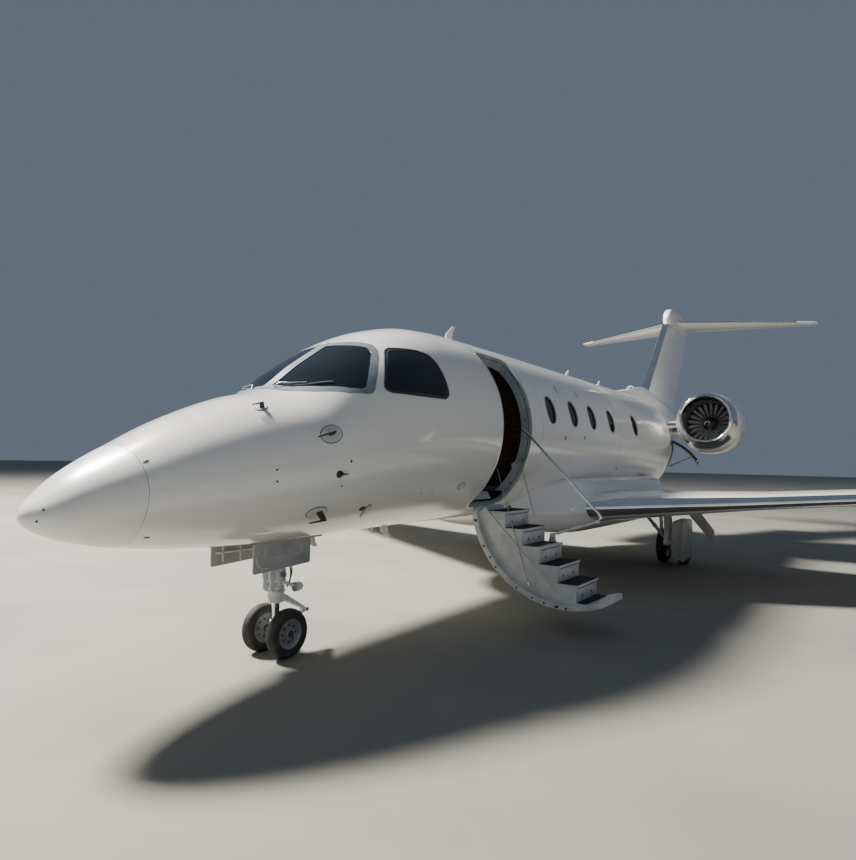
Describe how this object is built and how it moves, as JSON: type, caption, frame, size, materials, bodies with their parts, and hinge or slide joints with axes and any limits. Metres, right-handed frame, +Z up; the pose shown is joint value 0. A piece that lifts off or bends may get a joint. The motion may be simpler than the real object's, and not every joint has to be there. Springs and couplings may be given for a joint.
{
  "type": "business jet",
  "caption": "Twin-engined business jet parked on its gear, with airstair and baggage door open, T-tail and winglets.",
  "frame": {"origin": "on the ground under the middle of the length, on the centre plane", "axes": "+X forward to the nose, +Y to the port side, +Z up"},
  "size_m": [19.69, 21.5194, 6.43],
  "materials": {
    "white_paint": "gloss",
    "composite_white": "gloss",
    "gear_paint": "satin",
    "gear_door_paint": "satin",
    "polished_lip": "polished",
    "stair_trim": "satin",
    "wheel_metal": "satin",
    "engine_metal": "satin",
    "fan_metal": "polished",
    "handrail": "polished",
    "tyre": "matte",
    "glazing": "gloss",
    "dark_trim": "matte",
    "cabin_trim": "satin",
    "seat_leather": "satin",
    "carpet": "matte"
  },
  "bodies": {
    "airframe": {"radome": "composite_white", "fuselage_front": "white_paint", "windscreen_left": "glazing", "windscreen_right": "glazing", "side_window_left": "glazing", "side_window_right": "glazing", "fuselage_cabin": "white_paint", "fuselage_rear": "white_paint", "cabin_windows_left": "glazing", "cabin_windows_right": "glazing", "cabin_floor": "carpet", "cockpit_panel": "dark_trim", "pilot_seats": "dark_trim", "cabin_seats": "seat_leather", "cabin_partitions": "cabin_trim", "wing_left": "white_paint", "wing_right": "white_paint", "belly_fairing": "composite_white", "dorsal_fairing": "composite_white", "fin": "composite_white", "stabilizer": "composite_white", "inlet_lip_left": "polished_lip", "inlet_lip_right": "polished_lip", "nacelle_left": "composite_white", "nacelle_right": "composite_white", "engine_left": "engine_metal", "engine_right": "engine_metal", "pylon_left": "white_paint", "pylon_right": "white_paint", "nose_gear_leg": "gear_paint", "nose_gear_door_left": "white_paint", "nose_gear_door_right": "white_paint", "main_gear_leg_left": "gear_paint", "main_gear_leg_right": "gear_paint", "main_gear_door_left": "gear_door_paint", "main_gear_door_right": "gear_door_paint"},
    "steered_nose_leg": {"nose_gear_fork": "gear_paint"},
    "nose_wheels": {"nose_rims": "wheel_metal", "nose_tyre_left": "tyre", "nose_tyre_right": "tyre"},
    "main_wheels_left": {"main_rims_left": "wheel_metal", "main_tyre_outer_left": "tyre", "main_tyre_inner_left": "tyre"},
    "main_wheels_right": {"main_rims_right": "wheel_metal", "main_tyre_outer_right": "tyre", "main_tyre_inner_right": "tyre"},
    "fan_left": {"fan_left": "fan_metal"},
    "fan_right": {"fan_right": "fan_metal"},
    "airstair": {"airstair_door": "white_paint", "airstair_steps": "stair_trim"},
    "handrail_strut": {"handrail_strut": "gear_paint"},
    "handrail": {"handrail": "handrail"},
    "baggage_door": {"baggage_door": "white_paint"},
    "rudder": {"rudder": "composite_white"},
    "elevator_left": {"elevator_left": "composite_white"},
    "elevator_right": {"elevator_right": "composite_white"},
    "aileron_left": {"aileron_left": "white_paint"},
    "aileron_right": {"aileron_right": "white_paint"},
    "flap_left": {"flap_left": "white_paint"},
    "flap_right": {"flap_right": "white_paint"}
  },
  "joints": [
    {"name": "nose_steering", "type": "hinge", "parent": "airframe", "child": "steered_nose_leg", "pos_m": [7.538, 0, 0.5], "axis": [0, 0, 1], "range_deg": [-60, 60]},
    {"name": "nose_wheels_spin", "type": "hinge", "parent": "steered_nose_leg", "child": "nose_wheels", "pos_m": [7.538, 0, 0.229], "axis": [0, 1, 0], "continuous": true},
    {"name": "main_wheels_left_spin", "type": "hinge", "parent": "airframe", "child": "main_wheels_left", "pos_m": [-0.965, 1.594, 0.33], "axis": [0, 1, 0], "continuous": true},
    {"name": "main_wheels_right_spin", "type": "hinge", "parent": "airframe", "child": "main_wheels_right", "pos_m": [-0.965, -1.594, 0.33], "axis": [0, 1, 0], "continuous": true},
    {"name": "fan_left_spin", "type": "hinge", "parent": "airframe", "child": "fan_left", "pos_m": [-2.97386, 1.87356, 2.79], "axis": [0.9986, 0.0523, 0], "continuous": true},
    {"name": "fan_right_spin", "type": "hinge", "parent": "airframe", "child": "fan_right", "pos_m": [-2.97386, -1.87356, 2.79], "axis": [0.9986, -0.0523, 0], "continuous": true},
    {"name": "airstair_hinge", "type": "hinge", "parent": "airframe", "child": "airstair", "pos_m": [4.82, 0.715, 1.31], "axis": [1, 0, 0], "range_deg": [0, 119]},
    {"name": "handrail_strut_hinge", "type": "hinge", "parent": "airstair", "child": "handrail_strut", "pos_m": [4.551, 1.51, 1.005], "axis": [1, 0, 0], "range_deg": [-52.36, 0]},
    {"name": "handrail_hinge", "type": "hinge", "parent": "handrail_strut", "child": "handrail", "pos_m": [4.523, 2.08, 1.205], "axis": [1, 0, 0], "range_deg": [0, 57.95]},
    {"name": "baggage_door_hinge", "type": "hinge", "parent": "airframe", "child": "baggage_door", "pos_m": [-2.875, 1.078, 2.452], "axis": [-0.9848, -0.1735, 0], "range_deg": [0, 62]},
    {"name": "rudder_hinge", "type": "hinge", "parent": "airframe", "child": "rudder", "pos_m": [-6.09684, 0, 3.66], "axis": [-0.6432, 0, 0.7657], "range_deg": [-25, 25]},
    {"name": "elevator_left_hinge", "type": "hinge", "parent": "airframe", "child": "elevator_left", "pos_m": [-8.612, 0.38, 6.083], "axis": [-0.3034, 0.9528, 0.0067], "range_deg": [-20, 20]},
    {"name": "elevator_right_hinge", "type": "hinge", "parent": "airframe", "child": "elevator_right", "pos_m": [-8.612, -0.38, 6.083], "axis": [0.3034, 0.9528, -0.0067], "range_deg": [-20, 20]},
    {"name": "aileron_left_hinge", "type": "hinge", "parent": "airframe", "child": "aileron_left", "pos_m": [-1.41947, 6.45, 1.59631], "axis": [-0.2792, 0.9576, 0.0707], "range_deg": [-20, 20]},
    {"name": "aileron_right_hinge", "type": "hinge", "parent": "airframe", "child": "aileron_right", "pos_m": [-1.41947, -6.45, 1.59631], "axis": [0.2792, 0.9576, -0.0707], "range_deg": [-20, 20]},
    {"name": "flap_left_hinge", "type": "hinge", "parent": "airframe", "child": "flap_left", "pos_m": [-0.6231, 1.56, 1.06993], "axis": [0.1548, -0.9853, -0.0728], "range_deg": [0, 35]},
    {"name": "flap_right_hinge", "type": "hinge", "parent": "airframe", "child": "flap_right", "pos_m": [-0.6231, -1.56, 1.06993], "axis": [-0.1548, -0.9853, 0.0728], "range_deg": [0, 35]}
  ],
  "couplings": [
    {"joint": "elevator_right_hinge", "follows": "elevator_left_hinge", "ratio": 1},
    {"joint": "aileron_right_hinge", "follows": "aileron_left_hinge", "ratio": -1},
    {"joint": "flap_right_hinge", "follows": "flap_left_hinge", "ratio": 1},
    {"joint": "handrail_strut_hinge", "follows": "airstair_hinge", "ratio": -0.44},
    {"joint": "handrail_hinge", "follows": "airstair_hinge", "ratio": 0.487}
  ]
}
